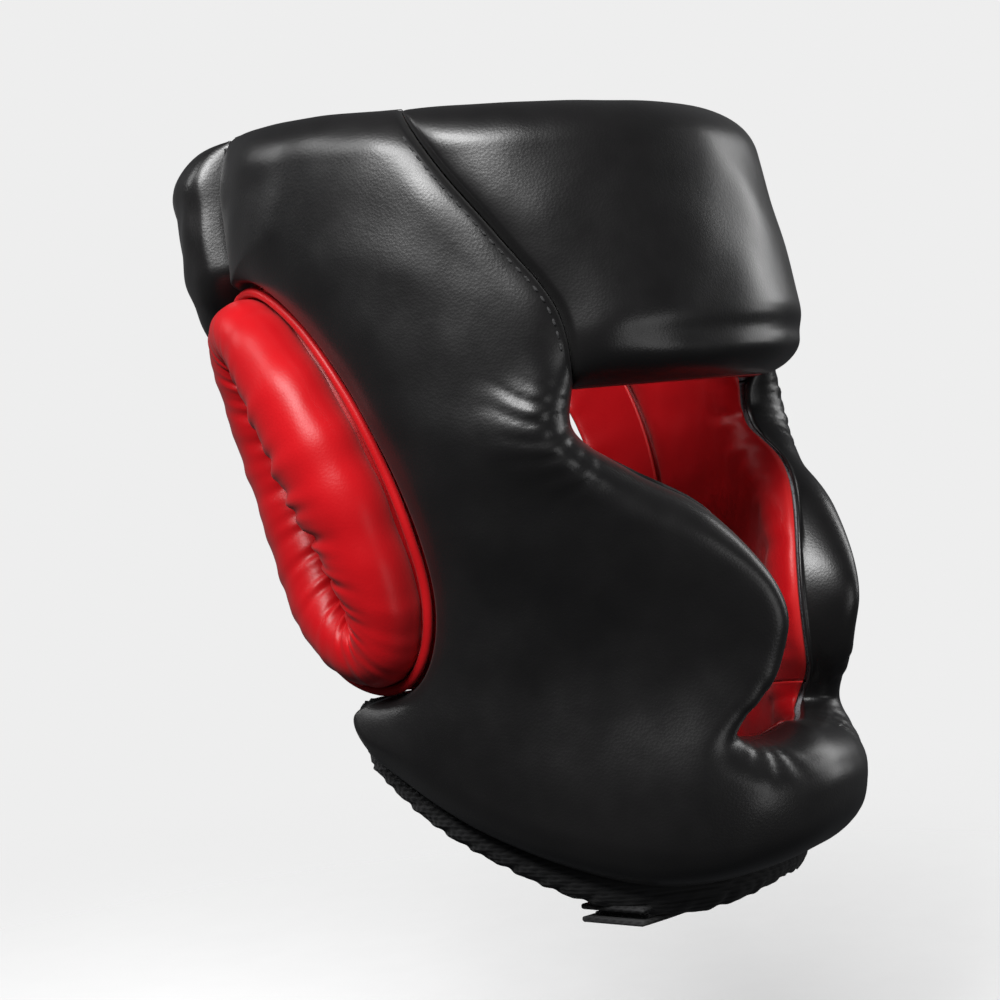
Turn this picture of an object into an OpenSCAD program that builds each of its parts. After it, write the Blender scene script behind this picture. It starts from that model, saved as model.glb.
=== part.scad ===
// Boxing headgear: full-face padded guard with cheek pads, a chin bar, padded ear rings,
// two hinged rear pads and three hook-and-loop straps.
// Frame: the origin is the middle of the wearer's head, level with the ears.
// The face looks along -Y, the wearer's left is +X, and +Z is up as worn.

/* [Padding] */
// Thickness of the padding outside the seam line
pad_t = 20; // [17:1:22]
// Depth of the padding inside the seam line
inner_t = 7; // [6:1:8]
// Extra thickness at the middle of each cheek pad
cheek_bulge = 12; // [8:1:16]
// Width of the rounded roll along a free edge
edge_roll = 20; // [14:1:22]

/* [Leather] */
// Thickness of each cover and lining
skin_t = 1.2; // [0.8:0.1:1.4]
// Clearance between a skin and its foam
layer_gap = 0.15; // [0.1:0.05:0.2]

/* [Ear rings] */
// Half length of the ring, along the middle of its tube
ring_a = 60; // [58:1:61]
// Half width of the ring, along the middle of its tube
ring_b = 19; // [18:1:21]
// Half width of the ring's tube, along the head
ring_w = 13; // [11:0.5:13.5]
// Half height of the ring's tube, away from the head
ring_h = 14.5; // [12:0.5:15]
// Lean of the ring's long axis, its top to the back
ring_lean = 21; // [18:1:22]
// Radius of the piping sewn round the ring
piping_r = 1.6; // [1:0.2:2]

/* [Straps] */
// Thickness of every strap
strap_t = 2; // [1.6:0.2:2.4]
// Width of the rear closure strap
rear_strap_w = 46; // [30:1:50]
// Width of the chin strap
chin_strap_w = 25; // [20:1:30]
// Width of the crown strap
crown_strap_w = 32; // [25:1:38]
// Thickness of a hook or loop patch
patch_t = 1; // [0.8:0.1:1.2]

/* [Hidden] */

// Half breadth, half length to the front and half length to the back of the seam surface,
// by height
levels = [
    [-140, 70, 106, 44], [-110, 74.5, 111, 48], [-70, 78.5, 112, 50], [-30, 82.5, 111, 54],
    [0, 87, 110, 61], [35, 90, 107, 73], [80, 89, 98, 88], [110, 86, 91, 98], [145, 80, 83, 102]
];

// Height of the top rim at the front and at the back, and of the brow edge
rim_front = 134;
rim_back = 143;
brow_z = 39;

// Ear ring: its middle's distance behind the origin and its height, its lift off the seam
// surface, and the room kept for the piping round it
ring_y = 17;
ring_z = 12.5;
ring_lift = 9;
ring_room = 4.8;

// How much further the ring stands out at its front than at its middle
ring_turn = 6;

// Half height of the ear ring's back below the seam surface
ring_back = -inner_t + skin_t + 0.5;

// Thinnest stack of cover, foam and lining, at a sewn edge
edge_t = 2 * (skin_t + layer_gap) + 0.9;

// Rear pads: angle of the hinge line, of the hinge side, of the lower part's side, which is
// cut back behind the ear ring, and of the free edge, then the height of the lower edge.
// The share of the padding left at the hinge side makes a shallow valley.
hinge_u = 127;
rear_u0 = 128.9;
rear_low_u0 = 149;
rear_u1 = 172;
rear_z0 = 30;
valley = 0.3;

// Heights between which a rear pad's side is cut back
rear_cut = [58, 97];

// Share of the padding kept at a sewn edge, the width over which it fills out, and the width
// over which the lining's depth does
sewn_share = 0.8;
sewn_roll = 14;
inner_roll = 14;

// Gap kept between pieces that move apart
move_gap = 0.5;

// Rows of the face panel at which the foam changes from chin to cheek and from cheek to side
chin_end = 5;
cheek_end = 18;

// ---------------------------------------------------------------- curves

function blend(a, b, x) = let (t = min(max((x - a) / (b - a), 0), 1)) t * t * (3 - 2 * t);

// Rounded roll of a padded edge: 0 at the edge and 1 from w inwards
function roll(d, w) = let (x = min(max(d / w, 0), 1)) sqrt(max(1 - (1 - x) * (1 - x), 0));

// Smooth curve through rows of [x, value, value, ...]
function slope(rows, i) =
    let (a = max(i - 1, 0), b = min(i + 1, len(rows) - 1))
    (rows[b] - rows[a]) / (rows[b][0] - rows[a][0]);
function curve(rows, x) =
    let (
        n = len(rows),
        c = min(max(x, rows[0][0]), rows[n - 1][0]),
        i = min(max([for (k = [0:n - 1]) if (rows[k][0] <= c) k]), n - 2),
        h = rows[i + 1][0] - rows[i][0],
        t = (c - rows[i][0]) / h
    )
    rows[i] * (2 * t * t * t - 3 * t * t + 1) + slope(rows, i) * h * (t * t * t - 2 * t * t + t)
    + rows[i + 1] * (3 * t * t - 2 * t * t * t) + slope(rows, i + 1) * h * (t * t * t - t * t);

// Point of the seam surface: u is the angle from the front to the wearer's right, z the height
function seam_point(u, z) =
    let (c = curve(levels, z), k = cos(u)) [-c[1] * sin(u), -(k > 0 ? c[2] : c[3]) * k, z];

function unit(v) = v / norm(v);
function seam_normal(u, z) =
    let (
        up = seam_point(u, z + 0.5) - seam_point(u, z - 0.5),
        along = seam_point(u + 0.5, z) - seam_point(u - 0.5, z)
    )
    unit(cross(up, along));

function rim_z(u) = rim_front + (rim_back - rim_front) * blend(20, 130, abs(u));

// ---------------------------------------------------------------- swept solids

// Closed solid through rows of points. A row runs out along one side and back along the other
// (from point number turn, or from the middle), so strips between the sides close its ends.
module sweep(rows, loop = false, turn = 0) {
    n = len(rows);
    m = len(rows[0]);
    half = turn > 0 ? turn : m / 2;
    last = loop ? n - 1 : n - 2;
    // Facets of the two sides split the same way, so that nested layers stay clear
    walls = [
        for (j = [0:last], k = [0:m - 1])
            let (
                a = j * m + k,
                b = j * m + (k + 1) % m,
                c = ((j + 1) % n) * m + (k + 1) % m,
                d = ((j + 1) % n) * m + k
            )
            each (k < half - 1 ? [[a, c, b], [a, d, c]] : [[a, d, b], [b, d, c]])
    ];
    caps = loop ? [] : [
        for (k = [0:m / 2 - 2])
            let (e = (n - 1) * m, a = k, b = k + 1, c = m - 2 - k, d = m - 1 - k)
            each [[a, b, c], [a, c, d], [e + a, e + c, e + b], [e + a, e + d, e + c]]
    ];
    polyhedron(points = [for (r = rows) each r], faces = concat(walls, caps), convexity = 8);
}

// A cell of a padded panel is [seam point, normal, depth inside the seam, whole thickness]
function cell(u, z, inside, outside) =
    [seam_point(u, z), seam_normal(u, z), inside, max(inside + outside, edge_t)];
function turned(c, k) = [c[0], unit([c[1][0] * k, c[1][1], c[1][2]]), c[2], c[3]];
function in_cell(c, g) = c[0] + c[1] * (g - c[2]);
function mirrored(c) = [[-c[0][0], c[0][1], c[0][2]], [-c[1][0], c[1][1], c[1][2]], c[2], c[3]];

// Inner and outer face of a layer in a cell: 0 is the lining, 1 the foam, 2 the cover
function face_in(c, layer) = layer == 0 ? 0 : layer == 1 ? skin_t + layer_gap : c[3] - skin_t;
function face_out(c, layer) = layer == 0 ? skin_t : layer == 1 ? c[3] - skin_t - layer_gap : c[3];

// Rows with the first one moved by share a, and the last one by share b, towards its neighbour
function trimmed(rows, a, b) =
    let (n = len(rows) - 1)
    concat(
        [rows[0] * (1 - a) + rows[1] * a],
        [for (i = [1:1:n - 1]) rows[i]],
        [rows[n] * (1 - b) + rows[n - 1] * b]);

// One layer of a panel, its two end rows moved in by a share of a row
module panel(grid, layer, inset_a = 0, inset_b = 0) {
    sweep(trimmed([
        for (row = grid) concat(
            [for (c = row) in_cell(c, face_out(c, layer))],
            [for (i = [len(row) - 1:-1:0]) in_cell(row[i], face_in(row[i], layer))])
    ], inset_a, inset_b));
}

// ---------------------------------------------------------------- ear ring outline

// Angle from the front and height of a point p back and q up from the ring's middle,
// laid out flat in the side view
function ring_chart(p, q) =
    let (
        y = ring_y + p * cos(ring_lean) + q * sin(ring_lean),
        z = ring_z + q * cos(ring_lean) - p * sin(ring_lean),
        c = curve(levels, z)
    )
    [90 + asin(y / (y < 0 ? c[2] : c[3])), z];
// Point w outside the middle of the ring's tube, at angle th from its top
function ring_edge(th, w) = ring_chart((ring_b + w) * sin(th), (ring_a + w) * cos(th));
function ring_seam(th) = ring_edge(th, ring_w + ring_room);

// ---------------------------------------------------------------- face panel

// Inner edge of each half as rows of [share, u, z], from the rim down the forehead seam, round
// the eye and the cheek, and along the top of the chin bar to its middle
inner_edge = [
    [0.00, 72, 139], [0.10, 64, 116], [0.20, 54, 90], [0.30, 46, 65], [0.38, 45, 42], [0.45, 46, 25],
    [0.53, 37, 11], [0.61, 22, -7], [0.70, 13, -36], [0.78, 14, -60], [0.86, 23, -80], [0.93, 14, -86],
    [1.00, 0, -84]
];
// The outer edge follows the ear ring between two shares, by the angle round the ring
ring_join = [
    [0.20, 2], [0.24, -9], [0.28, -21], [0.34, -45], [0.42, -78], [0.50, -112], [0.57, -143],
    [0.62, -160], [0.66, -171], [0.70, -183], [0.72, -190]
];
ring_top_share = ring_join[0][0];
ring_end_share = ring_join[len(ring_join) - 1][0];
// Outer edge above and below the ear ring as rows of [share, u, z]
upper_edge = [
    [0.00, 124.6, 143], [0.08, 124.6, 122], [0.15, 123, 104],
    concat([ring_top_share], ring_seam(ring_join[0][1]))
];
lower_edge = [
    concat([ring_end_share], ring_seam(ring_join[len(ring_join) - 1][1])),
    [0.765, 97, -72], [0.82, 90, -87], [0.88, 70, -113], [0.94, 40, -132], [1.00, 0, -130]
];
function outer_edge(t) =
    t < ring_top_share ? curve(upper_edge, t)
    : t > ring_end_share ? curve(lower_edge, t)
    : concat([t], ring_seam(curve(ring_join, t)[1]));

// Rows near the ring's top arch over it, highest at two thirds of their length, so that they
// meet its outline at a clear angle
arch_height = 9;
arch_mid = 0.225;
arch_reach = 0.075;
function arch(s, t) =
    arch_height * 27 / 4 * s * s * (1 - s) * exp(-pow((t - arch_mid) / arch_reach, 2));
function face_uz(s, t) =
    let (a = curve(inner_edge, t), b = outer_edge(t))
    [a[1] * (1 - s) + b[1] * s, a[2] * (1 - s) + b[2] * s + arch(s, t)];

// Shares between which the inner edge changes from sewn to free, between which the outer edge's
// valley deepens from the hinge to the ring, and up to which the rim's roll reaches
eye_corner = [0.34, 0.42];
hinge_share = [0.12, 0.22];
ring_valley = 0.1;
rim_share = 0.4;

// Swellings and hollows of the padding: their middles and their reaches in [u, z]
cheek_mid = [18, -42];
cheek_size = [22, 40];
hollow_mid = [48, -40];
hollow_size = [22, 45];
hollow_share = 0.38;
chin_bulge = 4;
chin_mid = [0, -108];
chin_size = [40, 20];

// The cheek pads swell forward and towards the nose more than outward
cheek_turn = 0.9;
turn_mid = [28, -45];
turn_size = [30, 45];
function bump(u, z, mid, size) =
    exp(-pow((u - mid[0]) / size[0], 2) - pow((z - mid[1]) / size[1], 2));

function face_cell_half(s, t) =
    let (
        p = face_uz(s, t),
        a = face_uz(0, t),
        b = face_uz(1, t),
        width = norm(seam_point(a[0], a[1]) - seam_point(b[0], b[1])),
        free = blend(eye_corner[0], eye_corner[1], t),
        sewn = sewn_share + (1 - sewn_share) * roll(s * width, sewn_roll),
        inner = (1 - free) * sewn + free * roll(s * width, edge_roll),
        low = t < ring_end_share ? valley + ring_valley * blend(hinge_share[0], hinge_share[1], t) : 0,
        outer = low + (1 - low) * roll((1 - s) * width, edge_roll + 2),
        top = 1 - (1 - roll(rim_z(p[0]) - p[1], edge_roll)) * (1 - blend(0, rim_share, t)),
        extra = cheek_bulge * bump(p[0], p[1], cheek_mid, cheek_size)
            - hollow_share * pad_t * bump(p[0], p[1], hollow_mid, hollow_size)
            + chin_bulge * bump(p[0], p[1], chin_mid, chin_size),
        turn = 1 - cheek_turn * bump(p[0], p[1], turn_mid, turn_size),
        in_roll = roll(s * width, inner_roll) * roll((1 - s) * width, inner_roll) * top
    )
    turned(cell(p[0], p[1], inner_t * in_roll, (pad_t + extra) * inner * outer * top), turn);

// Row j of the whole panel runs from -face_rows at the right rim, through 0 at the chin, to
// face_rows at the left rim
face_columns = 9;
face_rows = 30;
end_inset = 0.05;
function face_cell(s, v) = v < 0 ? face_cell_half(s, 1 + v) : mirrored(face_cell_half(s, 1 - v));
function face_grid(j0, j1) = [
    for (j = [j0:j1]) [for (i = [0:face_columns - 1]) face_cell(i / (face_columns - 1), j / face_rows)]
];

// ---------------------------------------------------------------- forehead panel

forehead_columns = 17;
forehead_rows = 10;
seam_inset = 0.992;
forehead_seam = [for (i = [4:-1:0]) [inner_edge[i][2], inner_edge[i][1]]];
function forehead_cell(s, q) =
    let (
        top = rim_z(s * forehead_seam[4][1]),
        z = brow_z + (top - brow_z) * q,
        u = s * curve(forehead_seam, z)[1],
        width = curve(levels, z)[1] * sin(curve(forehead_seam, z)[1]),
        sewn = sewn_share + (1 - sewn_share) * roll((1 - abs(s)) * width, sewn_roll)
    )
    cell(u, z, inner_t * roll(top - z, inner_roll) * roll(z - brow_z, inner_roll),
        pad_t * sewn * roll(top - z, edge_roll) * roll(z - brow_z, edge_roll - 2));
forehead_grid = [
    for (j = [0:forehead_rows])
        [for (i = [0:forehead_columns - 1])
            forehead_cell(seam_inset * (1 - 2 * i / (forehead_columns - 1)), j / forehead_rows)]
];

// ---------------------------------------------------------------- rear pads

rear_columns = 8;
rear_rows = 10;
function rear_cell(s, q) =
    let (
        z_guess = rear_z0 + (rim_back - rear_z0) * q,
        u0 = rear_low_u0 + (rear_u0 - rear_low_u0) * blend(rear_cut[0], rear_cut[1], z_guess),
        u = u0 + (rear_u1 - u0) * s,
        z = rear_z0 + (rim_z(u) - rear_z0) * q,
        width = norm(seam_point(u0, z) - seam_point(rear_u1, z)),
        ends = roll(rim_z(u) - z, edge_roll) * roll(z - rear_z0, edge_roll - 2),
        sides = max(roll(s * width, edge_roll), valley) * roll((1 - s) * width, edge_roll - 4)
    )
    cell(u, z, inner_t * ends, pad_t * ends * sides);
rear_grid = [
    for (j = [0:rear_rows])
        [for (i = [rear_columns - 1:-1:0]) rear_cell(i / (rear_columns - 1), j / rear_rows)]
];

// ---------------------------------------------------------------- ear rings

ring_steps = 40;

// Point of the ring at angle th round it: w across the tube and v off the seam surface
function ring_point(th, w, v) =
    let (c = ring_edge(th, w)) seam_point(c[0], c[1]) + seam_normal(c[0], c[1]) * v;

// Half section of the ring, less inside its outer face: a wall up from the back, a round top
// and a wall down into the ear hole
arc_steps = 8;
function ring_section(th, less) =
    let (top = ring_lift - ring_turn * sin(th), w = ring_w - less)
    concat(
        [ring_point(th, w, ring_back)],
        [for (i = [0:arc_steps]) let (ph = 180 * i / arc_steps)
            ring_point(th, w * cos(ph), top + (ring_h - less) * sin(ph))],
        [ring_point(th, -w, ring_back)]);
function reversed(list) = [for (i = [len(list) - 1:-1:0]) list[i]];

module ring_cover() {
    sweep([
        for (j = [0:ring_steps - 1]) let (th = -360 * j / ring_steps)
            concat(ring_section(th, 0), reversed(ring_section(th, skin_t)))
    ], loop = true);
}

// The foam's flat back has two more points, each this share of its width from an edge
back_share = 0.3;
module ring_foam() {
    sweep([
        for (j = [0:ring_steps - 1]) let (
            arc = ring_section(-360 * j / ring_steps, skin_t + layer_gap),
            first = arc[0],
            last = arc[len(arc) - 1]
        ) concat(arc, [last + (first - last) * back_share, first + (last - first) * back_share])
    ], loop = true, turn = arc_steps + 3);
}

piping_lift = 5;
piping_sides = 8;
piping_place = ring_w + 1.2 * piping_r;
module ring_piping() {
    sweep([
        for (j = [0:ring_steps - 1]) [
            for (k = [0:piping_sides - 1]) let (turn = 360 * k / piping_sides)
                ring_point(-360 * j / ring_steps, piping_place + piping_r * cos(turn),
                    piping_lift + piping_r * sin(turn))
        ]
    ], loop = true);
}

lining_half = ring_w - 1;
module ring_lining() {
    sweep([
        for (j = [0:ring_steps - 1]) let (th = -360 * j / ring_steps) [
            ring_point(th, lining_half, -inner_t + skin_t),
            ring_point(th, -lining_half, -inner_t + skin_t),
            ring_point(th, -lining_half, -inner_t),
            ring_point(th, lining_half, -inner_t)
        ]
    ], loop = true);
}

// ---------------------------------------------------------------- jaw binding

binding_t = 2.4;
binding_drop = 9;
binding_gap = 0.4;
binding_rows = 9;
inward = 0.96;
// Strip below the panel's lower edge, on the rows of the face panel
module jaw_binding_shape() {
    sweep(trimmed([
        for (j = [-binding_rows:0]) let (
            t = 1 + j / face_rows,
            a = face_uz(1, t),
            b = face_uz(inward, t),
            p = seam_point(a[0], a[1]),
            n = seam_normal(a[0], a[1]),
            down = unit(p - seam_point(b[0], b[1])),
            top = p + down * binding_gap
        ) [top + n * binding_t, top + down * binding_drop + n * binding_t, top + down * binding_drop, top]
    ], 0, end_inset));
}

// ---------------------------------------------------------------- hinge webs

web_half = 0.6;
web_t = 1.4;
web_z0 = 98;
web_z1 = rim_back - 2;
web_rows = 8;
function web_point(u, v, z) = seam_point(u, z) + seam_normal(u, z) * v;
// Leather web in the valley between the side panel and a rear pad
module hinge_web_shape() {
    near = hinge_u - web_half;
    far = hinge_u + web_half;
    sweep([
        for (j = [0:web_rows]) let (z = web_z0 + (web_z1 - web_z0) * j / web_rows)
            [web_point(far, web_t, z), web_point(near, web_t, z), web_point(near, 0, z), web_point(far, 0, z)]
    ]);
}

// ---------------------------------------------------------------- straps

// Each closure lies on a row of equal steps; a plate runs from step i to step k, its ends moved
// in by the shares a and b of a step
rear_strap_z = 86;
rear_start_u = 161;
rear_step_u = 3;
rear_fold = 4;
rear_tip = 16;
// Height of the rear closure off the seam surface: it dips between the two rear pads, over the
// angles of rear_dip from the middle of the back
rear_low = 16.5;
rear_high = pad_t + 0.35;
rear_dip = [4, 18];
function rear_step(i) = rear_start_u + rear_step_u * i;
function rear_lift(u) =
    rear_low + (rear_high - rear_low) * blend(rear_dip[0], rear_dip[1], abs(u - 180));
// Straight direction across the rear closure, up the leaning pads
function rear_rise(u) =
    let (half = rear_strap_w / 2)
    unit(seam_point(u, rear_strap_z + half) - seam_point(u, rear_strap_z - half));
module rear_plate(i, k, a, b, v, t) {
    half = rear_strap_w / 2;
    sweep(trimmed([
        for (j = [i:k]) let (
            u = rear_step(j),
            up = rear_rise(u) * half,
            low = seam_point(u, rear_strap_z) + seam_normal(u, rear_strap_z) * (rear_lift(u) + v),
            high = low + seam_normal(u, rear_strap_z) * t
        ) [high - up, high + up, low + up, low - up]
    ], a, b));
}

// Section of a band across the head at x and z, w wide about y, from height z up by t
function band_section(x, y, z, w, t) =
    [[x, y + w / 2, z + t], [x, y - w / 2, z + t], [x, y - w / 2, z], [x, y + w / 2, z]];

chin_x = 57;
chin_y = -70;
chin_z = -138.5;
chin_sag = 4;
chin_steps = 20;
chin_lap = 5;
chin_fold = 18;
module chin_plate(i, k, a, b, drop, t) {
    sweep(trimmed([
        for (j = [i:k]) let (x = chin_x * (2 * j / chin_steps - 1))
            band_section(x, chin_y, chin_z - chin_sag * cos(90 * x / chin_x) - drop - t, chin_strap_w, t)
    ], a, b));
}

crown_x = 76;
crown_y = 0;
crown_z = 121;
crown_sag = 14;
crown_steps = 24;
crown_lap = 7;
crown_fold = 22;
module crown_plate(i, k, a, b, lift, t) {
    sweep(trimmed([
        for (j = [i:k]) let (x = crown_x * (2 * j / crown_steps - 1))
            band_section(x, crown_y, crown_z - crown_sag * cos(90 * x / crown_x) + lift, crown_strap_w, t)
    ], a, b));
}

// ---------------------------------------------------------------- sub-parts

leather_black = [0.08, 0.08, 0.085];
leather_red = [0.75, 0.06, 0.08];
foam_grey = [0.55, 0.55, 0.58];
webbing_black = [0.05, 0.05, 0.05];
hook_black = [0.12, 0.12, 0.12];

module left_side(on) {
    if (on) mirror([1, 0, 0]) children();
    else children();
}

module face_cover() { color(leather_black) panel(face_grid(-face_rows, face_rows), 2); }
module forehead_cover() { color(leather_black) panel(forehead_grid, 2); }
module forehead_foam() { color(foam_grey) panel(forehead_grid, 1); }
module forehead_lining() { color(leather_red) panel(forehead_grid, 0); }

module face_layer(left, j0, j1, layer) {
    outer_inset = j1 == face_rows ? 0 : end_inset;
    if (left) panel(face_grid(j0, j1), layer, end_inset, outer_inset);
    else panel(face_grid(-j1, -j0), layer, outer_inset, end_inset);
}
module side_foam(left) { color(foam_grey) face_layer(left, cheek_end, face_rows, 1); }
module cheek_foam(left) { color(foam_grey) face_layer(left, chin_end, cheek_end, 1); }
module chin_foam() { color(foam_grey) panel(face_grid(-chin_end, chin_end), 1, end_inset, end_inset); }
module side_lining(left) { color(leather_red) face_layer(left, chin_end, face_rows, 0); }
module chin_lining() { color(leather_red) panel(face_grid(-chin_end, chin_end), 0, end_inset, end_inset); }

module ear_ring_cover(left) { color(leather_red) left_side(left) ring_cover(); }
module ear_ring_foam(left) { color(foam_grey) left_side(left) ring_foam(); }
module ear_piping(left) { color(leather_red) left_side(left) ring_piping(); }
module ear_lining(left) { color(leather_red) left_side(left) ring_lining(); }
module jaw_binding(left) { color(webbing_black) left_side(left) jaw_binding_shape(); }

module rear_cover(left) { color(leather_black) left_side(left) panel(rear_grid, 2); }
module rear_foam(left) { color(foam_grey) left_side(left) panel(rear_grid, 1); }
module rear_lining(left) { color(leather_red) left_side(left) panel(rear_grid, 0); }

// A closure is a fixed tab, a loop patch, a gap, a hook patch and the strap, in that order
hook_level = patch_t + move_gap;
strap_level = hook_level + patch_t;
// The same for the closures that start on a tab of their own, above the tab
tab_hook = strap_t + hook_level;
tab_strap = strap_t + strap_level;
// Shares of a step by which a strap ends before its fold and a patch before the strap's end
fold_inset = 0.12;
patch_inset = 0.3;
// Steps of the rear closure between which its patches lie
patch_from = rear_tip - 6;
patch_to = rear_tip - 1;

module hinge_web(left) { color(leather_black) left_side(left) hinge_web_shape(); }

module rear_strap_tab() { color(webbing_black) rear_plate(1, rear_fold, 0, fold_inset, 0, strap_t); }
module rear_loop_patch() { color(hook_black) rear_plate(patch_from, patch_to, 0, 0, 0, patch_t); }
module rear_hook_patch() { color(hook_black) rear_plate(patch_from, patch_to, 0, 0, hook_level, patch_t); }
module rear_strap() { color(webbing_black) rear_plate(rear_fold, rear_tip, 0, 0, strap_level, strap_t); }

module chin_strap_tab() { color(webbing_black) chin_plate(0, chin_lap, 0, 0, 0, strap_t); }
module chin_loop_patch() { color(hook_black) chin_plate(1, chin_lap, 0, patch_inset, strap_t, patch_t); }
module chin_hook_patch() { color(hook_black) chin_plate(1, chin_lap, 0, patch_inset, tab_hook, patch_t); }
module chin_strap() { color(webbing_black) chin_plate(0, chin_fold, 0, fold_inset, tab_strap, strap_t); }
module chin_anchor() { color(webbing_black) chin_plate(chin_fold, chin_steps, 0, 0, 0, strap_t + tab_strap); }

// Step of the crown closure at which its patches start
crown_patch = 2;
module crown_tab() { color(webbing_black) crown_plate(0, crown_lap, 0, 0, 0, strap_t); }
module crown_loop_patch() {
    color(hook_black) crown_plate(crown_patch, crown_lap, 0, patch_inset, strap_t, patch_t);
}
module crown_hook_patch() {
    color(hook_black) crown_plate(crown_patch, crown_lap, 0, patch_inset, tab_hook, patch_t);
}
module crown_strap() { color(webbing_black) crown_plate(1, crown_fold, 0, fold_inset, tab_strap, strap_t); }
module crown_anchor() { color(webbing_black) crown_plate(crown_fold, crown_steps, 0, 0, tab_strap, strap_t); }

face_cover();
forehead_cover();
forehead_foam();
forehead_lining();
side_foam(false);  // side_foam_right
side_foam(true);  // side_foam_left
cheek_foam(false);  // cheek_foam_right
cheek_foam(true);  // cheek_foam_left
chin_foam();
side_lining(false);  // side_lining_right
side_lining(true);  // side_lining_left
chin_lining();
ear_ring_cover(false);  // ear_ring_cover_right
ear_ring_cover(true);  // ear_ring_cover_left
ear_ring_foam(false);  // ear_ring_foam_right
ear_ring_foam(true);  // ear_ring_foam_left
ear_piping(false);  // ear_piping_right
ear_piping(true);  // ear_piping_left
ear_lining(false);  // ear_lining_right
ear_lining(true);  // ear_lining_left
jaw_binding(false);  // jaw_binding_right
jaw_binding(true);  // jaw_binding_left
hinge_web(false);  // hinge_web_right
hinge_web(true);  // hinge_web_left
rear_cover(false);  // rear_cover_right
rear_cover(true);  // rear_cover_left
rear_foam(false);  // rear_foam_right
rear_foam(true);  // rear_foam_left
rear_lining(false);  // rear_lining_right
rear_lining(true);  // rear_lining_left
rear_loop_patch();
rear_strap_tab();
rear_strap();
rear_hook_patch();
chin_strap_tab();
chin_anchor();
chin_strap();
chin_hook_patch();
chin_loop_patch();
crown_tab();
crown_loop_patch();
crown_strap();
crown_hook_patch();
crown_anchor();
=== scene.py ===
"""Boxing headgear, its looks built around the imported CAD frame.

Shapes are worked out in millimetres, on the same seam surface as the CAD part, and turned into
metres when a mesh is made. The origin is the middle of the wearer's head, the face looks along
-Y, the wearer's right is -X, and +Z is up.
"""

import math

import bpy
import numpy as np
from mathutils import Matrix, Vector


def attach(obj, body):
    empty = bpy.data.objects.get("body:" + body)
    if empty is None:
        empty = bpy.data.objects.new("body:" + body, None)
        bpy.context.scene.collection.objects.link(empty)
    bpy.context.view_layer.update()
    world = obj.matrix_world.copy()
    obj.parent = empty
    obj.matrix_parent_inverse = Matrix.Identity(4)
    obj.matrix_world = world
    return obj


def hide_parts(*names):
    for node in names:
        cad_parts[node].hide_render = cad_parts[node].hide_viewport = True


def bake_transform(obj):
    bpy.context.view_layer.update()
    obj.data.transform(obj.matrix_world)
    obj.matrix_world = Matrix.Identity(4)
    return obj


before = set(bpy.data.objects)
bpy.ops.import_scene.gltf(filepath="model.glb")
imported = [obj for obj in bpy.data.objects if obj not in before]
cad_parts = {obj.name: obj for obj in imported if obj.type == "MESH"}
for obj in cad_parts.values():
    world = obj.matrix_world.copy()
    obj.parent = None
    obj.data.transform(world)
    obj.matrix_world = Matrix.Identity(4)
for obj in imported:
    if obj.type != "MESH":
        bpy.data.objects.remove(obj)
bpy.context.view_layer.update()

MM = 0.001

# -------------------- driving sizes, as in the CAD
PAD = 20.0  # padding outside the seam surface
INNER = 7.0  # padding inside it
CHEEK_BULGE = 12.0  # how far the cheek pads swell beyond that
EDGE_ROLL = 20.0  # width of the roll at a padded edge
LEATHER = 1.2  # thickness of a skin
SEAM_GAP = 0.1  # gap between the cover's edge and the lining's
RING_A, RING_B = 60.0, 19.0  # half height and half width of the ear ring's middle line
RING_W, RING_H = 13.0, 14.5  # half width and half height of its tube
RING_LEAN = 21.0  # degrees that its top leans back
RING_ROOM = 4.8  # room between the tube and the panels round it
RING_Y, RING_Z = 17.0, 12.5  # its middle
RING_LIFT, RING_TURN = 9.0, 6.0  # lift of the tube off the seam surface, less at the back
RIM_FRONT, RIM_BACK = 134.0, 143.0  # height of the top rim
BROW_Z = 39.0  # height of the forehead panel's lower edge

# the seam surface: height, half width, depth to the front and depth to the back
LEVELS = [
    [-140, 70, 106, 44], [-110, 74.5, 111, 48], [-70, 78.5, 112, 50], [-30, 82.5, 111, 54],
    [0, 87, 110, 61], [35, 90, 107, 73], [80, 89, 98, 88], [110, 86, 91, 98], [145, 80, 83, 102],
]


# -------------------- curves
def blend(a, b, x):
    t = np.clip((x - a) / (b - a), 0, 1)
    return t * t * (3 - 2 * t)


def roll(d, w):
    """Rounded roll of a padded edge: 0 at the edge, 1 from w inwards."""
    x = np.clip(d / w, 0, 1)
    return np.sqrt(np.maximum(1 - (1 - x) ** 2, 0))


def curve(rows, x):
    """Smooth curve through rows of [x, value, value, ...]."""
    rows = np.array(rows, float)
    knots, rows = rows[:, 0], rows[:, 1:]
    n = len(rows)
    x = np.clip(np.asarray(x, float), knots[0], knots[-1])
    i = np.clip(np.searchsorted(knots, x, side="right") - 1, 0, n - 2)
    before = np.maximum(np.arange(n) - 1, 0)
    after = np.minimum(np.arange(n) + 1, n - 1)
    slopes = (rows[after] - rows[before]) / (knots[after] - knots[before])[:, None]
    h = (knots[i + 1] - knots[i])[..., None]
    t = (x - knots[i])[..., None] / h
    return (
        rows[i] * (2 * t**3 - 3 * t**2 + 1) + slopes[i] * h * (t**3 - 2 * t**2 + t)
        + rows[i + 1] * (3 * t**2 - 2 * t**3) + slopes[i + 1] * h * (t**3 - t**2)
    )


def unit(v):
    return v / np.maximum(np.linalg.norm(v, axis=-1, keepdims=True), 1e-9)


def seam_point(u, z):
    """Point of the seam surface at angle u, from the front to the wearer's right, and height z."""
    u, z = np.broadcast_arrays(np.asarray(u, float), np.asarray(z, float))
    c = curve(LEVELS, z)
    k = np.cos(np.radians(u))
    depth = np.where(k > 0, c[..., 1], c[..., 2])
    return np.stack([-c[..., 0] * np.sin(np.radians(u)), -depth * k, z], axis=-1)


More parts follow.
